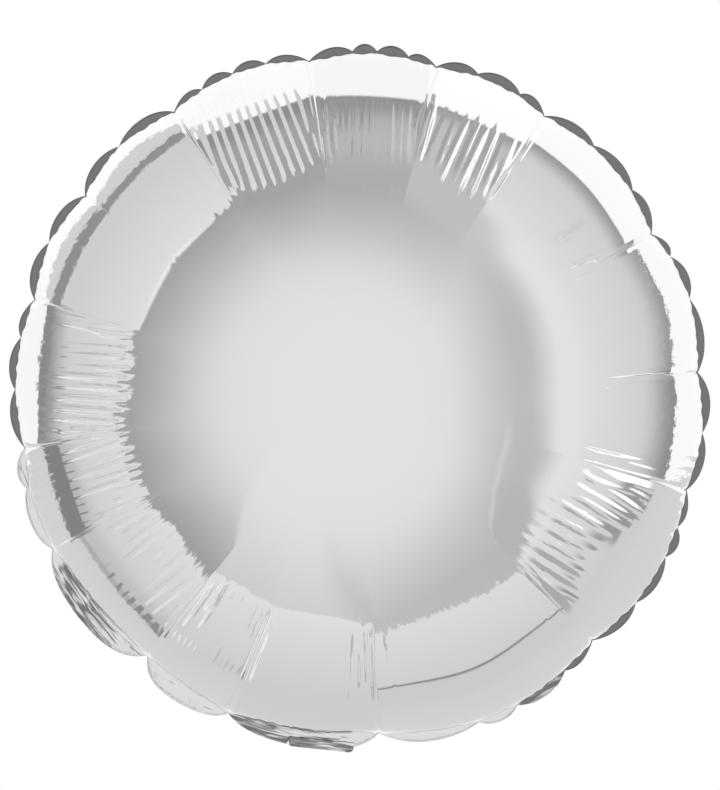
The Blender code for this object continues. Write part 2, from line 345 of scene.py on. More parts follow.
ends = number_ramp(studio, azimuth, 360.0, FRONT_ENDS, ENDS_TOP)
soft = number_ramp(studio, azimuth, 360.0, FRONT_SOFT, SOFT_TOP)
begins = math_node(studio, "SUBTRACT", ends, soft)
mirrored = blend_colours(studio, rise(studio, away, begins, ends), front, walls)
mirrored_light = add_node(studio, "ShaderNodeBackground")
feed(studio, mirrored_light.inputs["Color"], mirrored)
white_card = add_node(studio, "ShaderNodeBackground")
white_card.inputs["Color"].default_value = grey(1)
is_camera_ray = add_node(studio, "ShaderNodeLightPath").outputs["Is Camera Ray"]
choose = add_node(studio, "ShaderNodeMixShader")
feed_all(studio, choose.inputs, (is_camera_ray, mirrored_light.outputs[0], white_card.outputs[0]))
feed(studio, add_node(studio, "ShaderNodeOutputWorld").inputs["Surface"], choose.outputs[0])


def plain_mesh(name, points, faces, smooth=True):
    """A mesh object at the origin from points and faces."""
    mesh = bpy.data.meshes.new(name)
    mesh.from_pydata([tuple(p) for p in points], [], faces)
    mesh.update()
    if smooth:
        mesh.shade_smooth()
    made = bpy.data.objects.new(name, mesh)
    scene.collection.objects.link(made)
    return made


def new_finish(name):
    """A node material, its tree and its shader."""
    made = bpy.data.materials.new(name)
    made.use_nodes = True
    return made, made.node_tree, made.node_tree.nodes["Principled BSDF"]


floor_points = [(0, 0, FLOOR_LEVEL)]
for k in range(FLOOR_SIDES):
    turn = 2 * pi * k / FLOOR_SIDES
    floor_points.append((FLOOR_RADIUS * cos(turn), FLOOR_RADIUS * sin(turn), FLOOR_LEVEL))
floor_faces = [(0, 1 + k, 1 + (k + 1) % FLOOR_SIDES) for k in range(FLOOR_SIDES)]
floor = plain_mesh("floor", floor_points, floor_faces, smooth=False)
floor.visible_glossy = False
floor_paint, tree, shader = new_finish("pale floor")
shader.inputs["Base Color"].default_value = grey(FLOOR_TONE)
shader.inputs["Roughness"].default_value = 0.6
reach = add_node(tree, "ShaderNodeVectorMath", operation="LENGTH")
feed(tree, reach.inputs[0], add_node(tree, "ShaderNodeTexCoord").outputs["Object"])
faded = rise(tree, reach.outputs["Value"], 0.35 * FLOOR_RADIUS, FLOOR_RADIUS)
clear = add_node(tree, "ShaderNodeBsdfTransparent")
fade = add_node(tree, "ShaderNodeMixShader")
feed_all(tree, fade.inputs, (faded, shader.outputs[0], clear.outputs[0]))
feed(tree, tree.nodes["Material Output"].inputs["Surface"], fade.outputs[0])
floor.data.materials.append(floor_paint)

key_data = bpy.data.lights.new("overhead soft box", "AREA")
key_data.shape = "RECTANGLE"
key_data.size = 2.4
key_data.size_y = 1.8
key_data.energy = 14
key_light = bpy.data.objects.new("overhead soft box", key_data)
key_light.location = (0, -0.4, 2.2)
key_light.visible_glossy = False
scene.collection.objects.link(key_light)


# The film panels: two discs of silver metallised film, blown up between their welds. Each is a
# smooth dome in the middle that gathers towards the rim into flat lobes, with a crease between
# each two and pleats in some. Both panels share the creases, because they are welded together.
FLAT_DIAMETER = 0.457
WELD_WIDTH = 0.005
POLE_TO_RIM = 1.31103
RIM_RADIUS = (FLAT_DIAMETER / 2 - WELD_WIDTH) / POLE_TO_RIM
# The creases, by degrees round the rim from the right: each one's place and its depth in mm, how
# far out the lobe after it reaches in mm, and the places of the notches in that lobe's edge
LOBES = (
    (3.9, 4.2, 1.5, (16.3, 24.0)), (28.8, 7.0, 0.9, (36.8, 46.6)), (56.3, 6.5, 0.7, (61.7, 69.5)),
    (76.6, 5.5, 1.2, (81.5, 86.8, 90.9)), (98.3, 5.5, 1.5, (105.5, 111.3, 117.0)),
    (122.9, 5.5, 1.3, (133.8,)), (143.8, 5.5, 1.0, (153.6,)), (163.5, 6.0, 0.3, (170.2, 179.0)),
    (188.9, 6.0, 0.9, (195.6,)), (206.7, 3.5, 3.0, ()), (231.0, 7.5, 2.5, ()),
    (247.8, 3.0, 2.5, ()), (273.6, 5.5, 3.0, (290.4, 297.3, 307.0)),
    (313.8, 5.0, 2.5, (323.3, 332.3, 337.6)), (344.0, 3.5, 2.0, (353.8,)),
)
# How far each lobe's film edge is drawn in from the cusps, in mm, which bares more of the weld
EDGE_PULL = (0, 0.8, 1.0, 1.0, 0.2, 0, 0, 0.2, 1.2, 2.2, 0.8, 1.2, 0.7, 0, 0)
# How far each lobe swells between its creases, in mm
SWELL = (1.0, 0.8, 0.2, 0.2, 0.2, 0.4, 0.3, 0.2, 0.3, 0.8, 0.5, 0.8, 2.6, 0.3, 0.5)
# How far each lobe is drawn flat between its creases
FLATNESS = (0, 0.2, 1.0, 0.5, 1.0, 0.3, 0.2, 1.0, 1.0, 1.0, 0.6, 0.5, 0.35, 0.75, 0.2)
# How crinkled the film of each lobe is where it meets the dome, and near its rim
RAGGED = (
    (0.5, 1.2), (0.3, 0.15), (0.5, 0.6), (0.5, 0.5), (0.5, 0.5), (0.10, 0.8), (0.10, 1.0), (0.6, 0.7),
    (0.5, 0.9), (0.8, 0.8), (0.7, 0.8), (0.4, 0.25), (1.0, 0.3), (0.6, 0.3), (0.5, 1.2),
)
NOTCH_DEPTH = 0.004
LOBE_CROWN = 0.0008
CREASE_SHARPNESS = 8
NOTCH_SHARPNESS = 4
TAIL_ANGLE = 264.0
# The neck's straight line of leaving: how far out of the rim it lies, and half its width
NECK_OUT = 0.0047
NECK_HALF_WIDTH = 0.0168
NECK_EDGE = RIM_RADIUS + NECK_OUT
NECK_HALF_ANGLE = degrees(asin(NECK_HALF_WIDTH / NECK_EDGE))
# The film's own edge: how far short of the weld's edge it ends, its bulge and its small waves
FILM_SHORT = 0.0002
FILM_BULGE = 0.0006
EDGE_WAVE = 0.00024

crease_angles = np.array([row[0] for row in LOBES])
crease_depths = np.array([row[1] for row in LOBES])
lobe_reaches = np.array([row[2] for row in LOBES])
lobe_widths = (np.roll(crease_angles, -1) - crease_angles) % 360
lobe_middles = crease_angles + lobe_widths / 2
cusps = sorted([(row[0], 0.0) for row in LOBES] + [(notch, NOTCH_DEPTH) for row in LOBES for notch in row[3]])
cusp_angles, cusp_depths = np.array(cusps).T


def smooth_step(value, start, full):
    """Smooth rise from 0 at start to 1 at full."""
    share = np.clip((value - start) / (full - start), 0, 1)
    return share * share * (3 - 2 * share)


def hump(value, start, full, fading, gone):
    """Rise from 0 at start to 1 at full, and fall from 1 at fading to 0 at gone."""
    return smooth_step(value, start, full) * (1 - smooth_step(value, fading, gone))


def arch(share):
    """A low arch over a share from 0 to 1, with 1 in its middle."""
    return 4 * share * (1 - share)


def turned_from(angles, middle):
    """Degrees from a middle angle, from -180 to 180."""
    return (angles - middle + 180) % 360 - 180


def place_among(marks, angles):
    """The mark before each angle, the degrees from it to the next, and the share of them passed."""
    index = (np.searchsorted(marks, np.mod(angles, 360), side="right") - 1) % len(marks)
    width = (np.roll(marks, -1)[index] - marks[index]) % 360
    return index, width, ((angles - marks[index]) % 360) / width


def lobe_of(angles):
    """Index of the lobe at each angle, and the share of its width."""
    index, width, share = place_among(crease_angles, angles)
    return index, share


def crease_height(angles):
    """Height of the rim over the plain rim, by its creases and lobes alone."""
    index, share = lobe_of(angles)
    reach = lobe_reaches[index]
    before = crease_depths[index] + reach
    after = np.roll(crease_depths, -1)[index] + reach
    fold = before * (1 - share) ** CREASE_SHARPNESS + after * share ** CREASE_SHARPNESS
    return LOBE_CROWN * arch(share) + (reach - fold) / 1000


def notch_height(angles):
    """Depth of the scallops' notches at each angle."""
    index, width, share = place_among(cusp_angles, angles)
    before = cusp_depths[index]
    after = np.roll(cusp_depths, -1)[index]
    return before * (1 - share) ** NOTCH_SHARPNESS + after * share ** NOTCH_SHARPNESS


def weld_edge(angles):
    """Radius of the welded flange's outer edge, straight where the neck leaves it."""
    plain = RIM_RADIUS + crease_height(angles) - notch_height(angles) + WELD_WIDTH
    off = np.abs(turned_from(angles, TAIL_ANGLE))
    neck = NECK_EDGE / np.cos(np.radians(np.minimum(off, NECK_HALF_ANGLE)))
    return np.where(off <= NECK_HALF_ANGLE, neck, plain)


def film_edge(angles):
    """Radius of the film's own edge: nearly straight from each cusp of the flange to the next."""
    tips = RIM_RADIUS + crease_height(cusp_angles) - cusp_depths + WELD_WIDTH - FILM_SHORT
    index, width, share = place_among(cusp_angles, angles)
    straight = tips[index] * (1 - share) + np.roll(tips, -1)[index] * share
    bulge = FILM_BULGE * arch(share) * np.minimum(width / 8, 1.5)
    lobe, lobe_share = lobe_of(angles)
    pulled = np.array(EDGE_PULL)[lobe] / 1000 * (1 - (2 * lobe_share - 1) ** 6)
    wave = np.sin(np.radians(97 * angles)) * np.sin(np.radians(31 * angles + 40))
    wave += 0.6 * np.sin(np.radians(173 * angles))
    wave *= EDGE_WAVE * np.minimum(1, 2 * arch(share))
    return np.minimum(straight + bulge - pulled + wave, weld_edge(angles) - FILM_SHORT)


# The nets that are blown up: columns round the rim and rings over them, by the film's lean from
# the flat middle, 0, to the rim, 90. Where little happens, one column in eight is kept.
COARSE = 8
COLUMN_WIDTH = 0.26
PLAIN_LEANS = (0.25, 1, 2.2, 3.8, 5.6, 7.6, 9.8, 12.0, 14.2, 16.2)
FIRST_FULL_LEAN = 18.2
RING_COUNT = 68
# Shares of the rim radius round which the rings crowd, how much they do, and over what width
CROWDED_AT = (0.67, 0.92)
CROWDING = 0.9
CROWDED_OVER = 0.05
# The inner face: its rings' leans, how far inside the outer one it lies, and how much further
# under the creases
INNER_LEANS = (90, 80, 68, 56, 46, 37, 28, 20, 11, 4)
WALL = 0.0016
INNER_CLEARANCE = 0.0004
# Shares of the rim radius over which the lobes' flats come in, their corners ease off, and the
# creases come in, widen and deepen
FLATS_IN = (0.44, 0.665)
CORNERS_OUT = (0.64, 0.72)
CREASES_IN = (0.62, 0.71)
CREASE_WIDENS = (0.75, 1.0)
CREASE_DEEPENS = (0.92, 1.0)
CORNER_EASE = 0.7
CORNER_SHARPNESS = 6
# A crease's width where it begins and at the rim, its depth over its width, and how much deeper it
# ends
CREASE_INNER = 0.0005
CREASE_RIM = 0.0012
CREASE_SLOPE = 0.30
CREASE_DEEPER = 0.0006
# Leans over which the flats turn round again, the edge takes its shape, and the lobes swell
FLATS_OUT = (55, 90)
EDGE_IN = (60, 90)
SWELL_SPAN = (40, 68, 68, 90)
# Shares of the rim radius that are crinkled, beside the dome and beside the rim
DOME_CRINKLES = (0.60, 0.66, 0.72, 0.80)
RIM_CRINKLES = (0.86, 0.92, 0.985, 1.0)
DOME_CRINKLE_SHARE = 0.8
# How far each lobe's crinkles are shifted from the last one's
LOBE_SHIFT = 0.37
NET_VALUES = ("lean", "turn", "lift", "ring factor", "crinkle", "across")


def film_angles():
    """Angles of the film's columns in degrees: every crease and notch has one."""
    starts = [row[0] for row in cusps]
    result = []
    for start, end in zip(starts, starts[1:] + [starts[0] + 360]):
        width = end - start
        count = COARSE * max(1, round(width / (COARSE * COLUMN_WIDTH)))
        for k in range(count):
            eased = (1 - cos(pi * k / count)) / 2
            result.append(start + width * (0.6 * k / count + 0.4 * eased))
    return np.array(result)


def outer_rings():
    """Each outer ring's lean and which columns it keeps: they crowd where the film gathers."""
    fine = np.linspace(FIRST_FULL_LEAN, 90, 721)
    spread = np.sqrt(np.sin(np.radians(fine)))
    crowding = 1.0
    for place in CROWDED_AT:
        crowding = crowding + CROWDING * np.exp(-((spread - place) / CROWDED_OVER) ** 2)
    passed = np.concatenate([[0], np.cumsum((crowding[1:] + crowding[:-1]) / 2)])
    leans = np.interp(np.linspace(0, passed[-1], RING_COUNT), passed, fine)
    return [(radians(a), COARSE) for a in PLAIN_LEANS] + [(radians(a), 1) for a in leans]


def chord_factor(angles):
    """Radius of a ring over its plain radius where it runs straight across a lobe, and how much
    must be added at its ends to meet the next lobe."""
    index, share = lobe_of(angles)
    flatness = np.array(FLATNESS)
    widths = np.radians(lobe_widths)
    usual = 1 - (1 - np.cos(widths / 2)) * 2 / 3
    corner = flatness * (1 / usual - 1)
    at_start = (corner + np.roll(corner, 1)) / 2
    at_end = np.roll(at_start, -1)
    width = widths[index]
    straight = np.sin(width) / (np.sin(width * (1 - share)) + np.sin(width * share))
    factor = 1 + flatness[index] * (straight / usual[index] - 1)
    meet = (at_start - corner)[index] * (1 - share) ** CORNER_SHARPNESS
    return factor, meet + (at_end - corner)[index] * share ** CORNER_SHARPNESS


def dome_height(leans):
    """Height over the rim's plane, in rim radii, of two discs blown up without stretching."""
    steps = np.linspace(0, pi / 2, 2001)
    middles = (steps[1:] + steps[:-1]) / 2
    climbed = np.concatenate([[0], np.cumsum(np.sqrt(np.sin(middles)) * np.diff(steps))])
    return (climbed[-1] - np.interp(leans, steps, climbed)) / 2


# The pleats that the gathered film draws itself into. Each row: crease that starts the lobe, number
# of pleats across it, tilt of their sides in degrees, shares of the rim radius where they start and
# end, from the lobe's start to its end, how ragged they are, and how much their tilts vary.
FRONT_PLEATS = (
    (56.3, 9, 5.8, (0.64, 0.60, 0.64, 0.66), (0.97, 0.95, 0.95, 0.97), 0.7, 0.7),
    (76.6, 13, 2.6, (0.57, 0.60), (0.93, 0.95), 0.8, 0.6),
    (98.3, 11, 6.0, (0.63, 0.62), (0.98, 0.97), 0.25, 0.2),
    (122.9, 8, 2.2, (0.60, 0.62, 0.75, 0.80), (0.80, 0.80, 0.82, 0.84), 0.6, 0.3),
    (163.5, 11, 5.6, (0.615, 0.63), (0.99, 0.96), 0.5, 0.5),
    (188.9, 9, 4.6, (0.63, 0.64), (0.99, 0.985), 0.5, 0.4),
    (206.7, 10, 3.0, (0.64, 0.67, 0.63), (0.97, 0.97), 0.6, 0.6),
    (231.0, 12, 5.5, (0.80, 0.80), (0.93, 0.93), 0.5, 0.4),
    (313.8, 11, 5.2, (0.60, 0.61, 0.63, 0.63), (0.96, 0.87, 0.83, 0.86, 0.88, 0.96, 0.97), 0.7, 0.45),
)
BACK_PLEATS = (
    (3.9, 8, 4.8, (0.63, 0.66, 0.62), (0.94, 0.97), 0.7, 0.6),
    (28.8, 4, 1.6, (0.66, 0.62), (0.90, 0.93), 0.8, 0.5),
    (76.6, 10, 5.2, (0.62, 0.60), (0.97, 0.95), 0.6, 0.5),
    (122.9, 9, 5.0, (0.60, 0.64), (0.95, 0.96), 0.6, 0.5),
    (163.5, 6, 2.4, (0.64, 0.66), (0.90, 0.86), 0.8, 0.6),
    (206.7, 9, 5.4, (0.63, 0.61), (0.96, 0.97), 0.5, 0.5),
    (231.0, 5, 3.2, (0.64, 0.66), (0.92, 0.92), 0.7, 0.5),
    (247.8, 12, 4.6, (0.66, 0.62), (0.97, 0.97), 0.6, 0.5),
    (273.6, 7, 2.6, (0.63, 0.70, 0.78), (0.97, 0.92), 0.7, 0.5),
    (344.0, 8, 5.0, (0.64, 0.62), (0.95, 0.97), 0.6, 0.5),
)
# Loose wrinkles beside each crease: the crease, how many, their height in mm, their reach in degrees
FRONT_GATHERS = (
    (3.9, 7, 0.28, 1.8), (28.8, 7, 0.22, 3.0), (56.3, 3, 0.22, 1.4), (76.6, 4, 0.20, 1.6),
    (98.3, 4, 0.22, 2.4), (95.6, 4, 0.24, 1.6), (122.9, 6, 0.20, 4.0), (143.8, 3, 0.15, 1.6),
    (163.5, 5, 0.16, 3.0), (188.9, 4, 0.20, 2.0), (206.7, 5, 0.20, 2.0), (233.5, 9, 0.14, 4.0),
    (247.8, 4, 0.12, 2.0), (270.5, 11, 0.20, 3.2), (276.0, 3, 0.12, 2.0), (312.5, 6, 0.18, 3.0),
    (344.0, 5, 0.20, 4.0),
)
BACK_GATHERS = (
    (3.9, 5, 0.20, 2.4), (28.8, 4, 0.20, 2.0), (53.5, 6, 0.18, 3.0), (76.6, 3, 0.22, 1.6),
    (101.0, 5, 0.20, 2.4), (122.9, 4, 0.20, 1.6), (143.8, 6, 0.16, 3.4), (163.5, 4, 0.20, 2.0),
    (186.0, 5, 0.18, 3.0), (206.7, 4, 0.20, 1.8), (231.0, 5, 0.20, 2.2), (247.8, 4, 0.20, 1.6),
    (273.6, 6, 0.18, 3.0), (313.8, 7, 0.20, 3.6), (344.0, 4, 0.22, 1.8),
)
# Share of the rim radius where the pleats' widths are taken, and how far from a crease they fade
PLEATS_MEASURED = 0.75
PLEATS_FADE = 0.0016


def pleat_height(rng, pleats, gathers, angles, spreads):
    """Height of the pleats and of the wrinkles beside the creases, over rings by columns."""
    index, share = lobe_of(angles)
    total = np.zeros((len(spreads), len(angles)))
    offset = np.radians(turned_from(angles, lobe_middles[index]))
    across = RIM_RADIUS * spreads[:, None] * np.sin(offset)[None, :]
    width = RIM_RADIUS * PLEATS_MEASURED * np.radians(lobe_widths[index])
    window = smooth_step(width * np.minimum(share, 1 - share), 0.0, PLEATS_FADE)[None, :]
    for crease, count, tilt, start, end, ragged, variety in pleats:
        lobe = int(np.argmin(np.abs(crease_angles - crease)))
        inside = (index == lobe)[None, :] * window
        chord = 2 * RIM_RADIUS * PLEATS_MEASURED * sin(radians(lobe_widths[lobe] / 2))
        pitch = chord / count
        for k in range(count):
            centre = (k + 0.5 - count / 2 + ragged * rng.uniform(-0.3, 0.3)) * pitch
            width = pitch * (1 + ragged * rng.uniform(-0.35, 0.35))
            place = (k + 0.5) / count
            first = np.interp(place, np.linspace(0, 1, len(start)), start) + ragged * rng.uniform(-0.04, 0.04)
            last = np.interp(place, np.linspace(0, 1, len(end)), end) + ragged * rng.uniform(-0.05, 0.03)
            lean = tilt * (1 + variety * rng.uniform(-1.0, 0.35))
            slant = ragged * rng.uniform(-0.05, 0.05)
            run = ((spreads - first) / (last - first))[:, None]
            body = smooth_step(spreads, first, first + 0.06)[:, None] * (1 - smooth_step(run, 0.65, 1.0))
            sideways = np.clip((across - centre - slant * (run - 0.5) * chord) / width, -0.5, 0.5)
            ridge = (1 + np.cos(2 * pi * sideways)) / 2
            total += inside * body * ridge * np.tan(radians(lean)) * width / pi
    for crease, count, height, reach in gathers:
        for k in range(count):
            at = crease + rng.uniform(-reach, reach)
            first = rng.uniform(0.62, 0.78)
            last = first + rng.uniform(0.10, 0.24)
            width = rng.uniform(0.0007, 0.0014)
            slant = rng.uniform(-2.0, 2.0)
            size = height / 1000 * rng.uniform(0.4, 1.0)
            near = np.abs(turned_from(angles, at)) < 4.0
            drift = np.radians(slant * (spreads - 0.8))[:, None]
            turned = np.radians(turned_from(angles[near], at))[None, :] - drift
            body = arch(np.clip((spreads - first) / (last - first), 0, 1)) ** 0.8
            sideways = RIM_RADIUS * spreads[:, None] * turned / width
            total[:, near] += size * body[:, None] * np.exp(-sideways ** 2)
    return total


def bridge(first, second):
    """Faces between two closed rings, where one has a whole number of times the other's points."""
    (start, many), (other, few) = first, second
    if many < few:
        return [face[::-1] for face in bridge(second, first)]
    ratio = many // few
    half = ratio // 2
    faces = []
    for i in range(few):
        corner = other + i
        following = other + (i + 1) % few
        run = [start + (i * ratio + k) % many for k in range(ratio + 1)]
        if ratio == 1:
            faces.append((run[0], run[1], following, corner))
        else:
            faces += [(run[k], run[k + 1], corner) for k in range(half)]
            faces.append((corner, run[half], following))
            faces += [(run[k], run[k + 1], following) for k in range(half, ratio)]
    return faces


def store(mesh, values):
    """Keep a number for each point of a mesh under each name."""
    for name, numbers in values.items():
        layer = mesh.attributes.new(name, "FLOAT", "POINT")
        layer.data.foreach_set("value", np.asarray(numbers, dtype=np.float32))


def new_net(name, faces, values):
    """A net whose points carry numbers, for a rule to put in place."""
    mesh = bpy.data.meshes.new(name)
    mesh.from_pydata([(0, 0, 0)] * len(values["turn"]), [], faces)
    store(mesh, values)
    made = bpy.data.objects.new(name, mesh)
    scene.collection.objects.link(made)
    return made


def film_net(name, rng, pleats, gathers, side):
    """A panel's net, outer face and inner face, with what its rule needs at each point."""
    angles = film_angles()
    index, share = lobe_of(angles)
    edge = film_edge(angles) - RIM_RADIUS
    to_crease = np.minimum(share, 1 - share) * np.radians(lobe_widths[index])
    offset = np.radians(turned_from(angles, lobe_middles[index]))
    chord, meet = chord_factor(angles)
    by_dome, by_rim = np.array(RAGGED)[index].T
    swell = np.array(SWELL)[index] / 1000 * arch(share) ** 2
    outer = outer_rings()
    inner = [(radians(a), COARSE) for a in INNER_LEANS]
    spreads = np.array([sqrt(sin(lean)) for lean, keep in outer])
    heights = pleat_height(rng, pleats, gathers, angles, spreads)
    rings, starts, total = [], [], 0
    for row, (lean, keep) in enumerate(outer + inner):
        spread = sqrt(sin(lean))
        tip = degrees(lean)
        flatten = smooth_step(spread, *FLATS_IN) * (1 - smooth_step(tip, *FLATS_OUT))
        factor = 1 + flatten * (chord - 1 + meet * (1 - CORNER_EASE * smooth_step(spread, *CORNERS_OUT)))
        lift = edge * smooth_step(tip, *EDGE_IN) + swell * hump(tip, *SWELL_SPAN)
        width = CREASE_INNER + (CREASE_RIM - CREASE_INNER) * smooth_step(spread, *CREASE_WIDENS)
        valley = CREASE_SLOPE * width + CREASE_DEEPER * smooth_step(spread, *CREASE_DEEPENS)
        if row < len(outer):
            sides = np.exp(-(RIM_RADIUS * spread * to_crease / width) ** 1.3)
            lift = lift - valley * smooth_step(spread, *CREASES_IN) * sides + heights[row]
            crinkle = by_dome * DOME_CRINKLE_SHARE * hump(spread, *DOME_CRINKLES)
            crinkle = crinkle + by_rim * hump(spread, *RIM_CRINKLES)
        else:
            lift = lift - WALL - (valley + INNER_CLEARANCE) * (spread > 0.55)
            crinkle = np.zeros(len(angles))
        across = RIM_RADIUS * spread * np.sin(offset) + index * LOBE_SHIFT
        ring = (np.full(len(angles), lean), np.radians(angles), lift, factor, crinkle, across)
        rings.append(np.array(ring)[:, ::keep])
        starts.append((total, rings[-1].shape[1]))
        total += rings[-1].shape[1]
    poles = np.zeros((len(NET_VALUES), 2))
    poles[NET_VALUES.index("ring factor")] = 1.0
    poles[NET_VALUES.index("lift"), 1] = -WALL
    values = dict(zip(NET_VALUES, np.concatenate(rings + [poles], axis=1)))
    values["height"] = dome_height(values["lean"])
    faces = []
    for first, second in zip(starts, starts[1:]):
        faces += bridge(first, second)
    begin, size = starts[0]
    faces += [(total, begin + (k + 1) % size, begin + k) for k in range(size)]
    begin, size = starts[-1]
    faces += [(total + 1, begin + k, begin + (k + 1) % size) for k in range(size)]
    if side > 0:
        faces = [face[::-1] for face in faces]
    return new_net(name, faces, values)


# Way along the film for each unit of its lean, near the rim, in metres
ARC_PER_LEAN = 0.11


def new_rule(name, sizes):
    """A Geometry Nodes tree with its named inputs."""
    rule = bpy.data.node_groups.new(name, "GeometryNodeTree")
    face = rule.interface
    face.new_socket("Net", in_out="INPUT", socket_type="NodeSocketGeometry")
    for size in sizes:
        face.new_socket(size, in_out="INPUT", socket_type="NodeSocketFloat")
    face.new_socket("Finish", in_out="INPUT", socket_type="NodeSocketMaterial")
    face.new_socket("Piece", in_out="OUTPUT", socket_type="NodeSocketGeometry")
    return rule, add_node(rule, "NodeGroupInput").outputs


def stored(rule, name):
    """A number that the net keeps at each point."""
    made = add_node(rule, "GeometryNodeInputNamedAttribute", data_type="FLOAT")
    made.inputs["Name"].default_value = name
    return made.outputs["Attribute"]


def vector_of(tree, *sources):
    """A vector from up to three numbers."""
    made = add_node(tree, "ShaderNodeCombineXYZ")
    feed_all(tree, made.inputs, sources)
    return made.outputs[0]


def round_place(rule, radius, turn, depth=None):
    """A place at a radius and a turn round the balloon, and a depth from the rim's plane."""
    right = product(rule, radius, math_node(rule, "COSINE", turn))
    up = product(rule, radius, math_node(rule, "SINE", turn))
    return vector_of(rule, right, depth, up)


def end_rule(rule, given, place):
    """Put the net's points in place and give the piece its finish."""
    move = add_node(rule, "GeometryNodeSetPosition")
    feed(rule, move.inputs["Geometry"], given["Net"])
    feed(rule, move.inputs["Position"], place)
    real = add_node(rule, "GeometryNodeRealizeInstances")
    feed(rule, real.inputs[0], move.outputs[0])
    finish = add_node(rule, "GeometryNodeSetMaterial")
    feed(rule, finish.inputs["Geometry"], real.outputs[0])
    feed(rule, finish.inputs["Material"], given["Finish"])
    feed(rule, add_node(rule, "NodeGroupOutput").inputs[0], finish.outputs[0])


def run_rule(piece, rule, settings):
    """Run a Geometry Nodes tree on a net and keep the result as its plain mesh."""
    modifier = piece.modifiers.new(rule.name, "NODES")
    modifier.node_group = rule
    for item in rule.interface.items_tree:
        if item.item_type == "SOCKET" and item.in_out == "INPUT" and item.name in settings:
            modifier[item.identifier] = settings[item.name]
    piece.data.update()
    view = bpy.context.evaluated_depsgraph_get()
    view.update()
    mesh = bpy.data.meshes.new_from_object(piece.evaluated_get(view))
    piece.modifiers.remove(modifier)
    net = piece.data
    piece.data = mesh
    mesh.name = piece.name
    bpy.data.meshes.remove(net)
    mesh.shade_smooth()


def film_rule():
    """Geometry Nodes tree that blows a panel's net up into its dome and crinkles it."""
    sizes = ("Rim radius", "Side", "Foot", "Crinkle depth", "Crinkle width", "Crinkle run", "Seed")
    rule, given = new_rule("blow up film panel", sizes)
    lean = stored(rule, "lean")
    lean_sine = math_node(rule, "SINE", lean)
    lean_cosine = math_node(rule, "COSINE", lean)
    across = math_node(rule, "DIVIDE", stored(rule, "across"), given["Crinkle width"])
    along = math_node(rule, "DIVIDE", product(rule, lean, ARC_PER_LEAN), given["Crinkle run"])
    noise = clouds(rule, Vector=vector_of(rule, across, along, given["Seed"]), Scale=1.0, Detail=1.5)
    bumps = product(rule, math_node(rule, "SUBTRACT", noise, 0.5), stored(rule, "crinkle"))
    lift = math_node(rule, "ADD", stored(rule, "lift"), product(rule, bumps, given["Crinkle depth"]))
    spread = math_node(rule, "SQRT", lean_sine)
    plain = product(rule, given["Rim radius"], spread, stored(rule, "ring factor"))
    radius = math_node(rule, "ADD", plain, product(rule, lift, lean_sine))
    height = product(rule, given["Rim radius"], stored(rule, "height"))
    height = math_node(rule, "ADD", height, product(rule, lift, lean_cosine))
    depth = product(rule, math_node(rule, "MAXIMUM", height, given["Foot"]), given["Side"])
    end_rule(rule, given, round_place(rule, radius, stored(rule, "turn"), depth))
    return rule


def surface_value(tree, name):
    """A number that the piece keeps at each point, for its finish."""
    return add_node(tree, "ShaderNodeAttribute", attribute_name=name).outputs["Fac"]


def on_piece(tree):
    """The place on the piece, for its finish."""
    return add_node(tree, "ShaderNodeTexCoord").outputs["Object"]


def raise_surface(tree, shader, height, distance):
    """Give a finish fine relief."""
    made = add_node(tree, "ShaderNodeBump")
    made.inputs["Distance"].default_value = distance
    feed(tree, made.inputs["Height"], height)
    feed(tree, shader.inputs["Normal"], made.outputs[0])


# Fine crinkles of the film: their width across the pleats and their run along them
FINE_WIDTH = 0.0011
FINE_RUN = 0.0045


def silver_film():
    """Metallised film: a mirror with fine crinkles, stretched along the pleats, towards the rim."""
    made, tree, shader = new_finish("silver film")
    shader.inputs["Base Color"].default_value = (FILM_MIRROR, FILM_MIRROR, FILM_MIRROR * 1.003, 1)
    shader.inputs["Metallic"].default_value = 1.0
    across = product(tree, surface_value(tree, "across"), 1 / FINE_WIDTH)
    along = product(tree, surface_value(tree, "lean"), ARC_PER_LEAN / FINE_RUN)
    fine = clouds(tree, Vector=vector_of(tree, across, along), Scale=1.0, Detail=2.0)
    raise_surface(tree, shader, product(tree, fine, surface_value(tree, "crinkle")), 0.00006)
    haze = clouds(tree, Vector=on_piece(tree), Scale=14)
    feed(tree, shader.inputs["Roughness"], math_node(tree, "MULTIPLY_ADD", haze, 0.03, 0.035))
    return made


film_finish = silver_film()
blow_up = film_rule()
film_sizes = {
    "Rim radius": RIM_RADIUS, "Foot": 0.0008, "Crinkle depth": 0.00028, "Crinkle width": 0.0026,
    "Crinkle run": 0.0065, "Finish": film_finish,
}
front_film = film_net("front_film", np.random.default_rng(7), FRONT_PLEATS, FRONT_GATHERS, -1)
run_rule(front_film, blow_up, film_sizes | {"Side": -1.0, "Seed": 3.0})
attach(front_film, "envelope")
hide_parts("front_panel")

back_film = film_net("back_film", np.random.default_rng(19), BACK_PLEATS, BACK_GATHERS, 1)
run_rule(back_film, blow_up, film_sizes | {"Side": 1.0, "Seed": 11.0})
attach(back_film, "envelope")
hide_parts("back_panel")


# The rim weld: the two discs' edges pressed flat together, 5 mm wide, dull grey and scalloped
# between the cusps where the gathered film pulls it in. Its grey is also painted shade: it is
# darkened to stand for the dark that its flat face mirrors. Low on the left the balloon has been
# handled by it, so it is crumpled there, and its glints there are painted highlights in its colour.
WELD_HALF = 0.00035
WELD_INSIDE = 0.004
WELD_ROWS = 6
WELD_RIPPLE = 0.0009
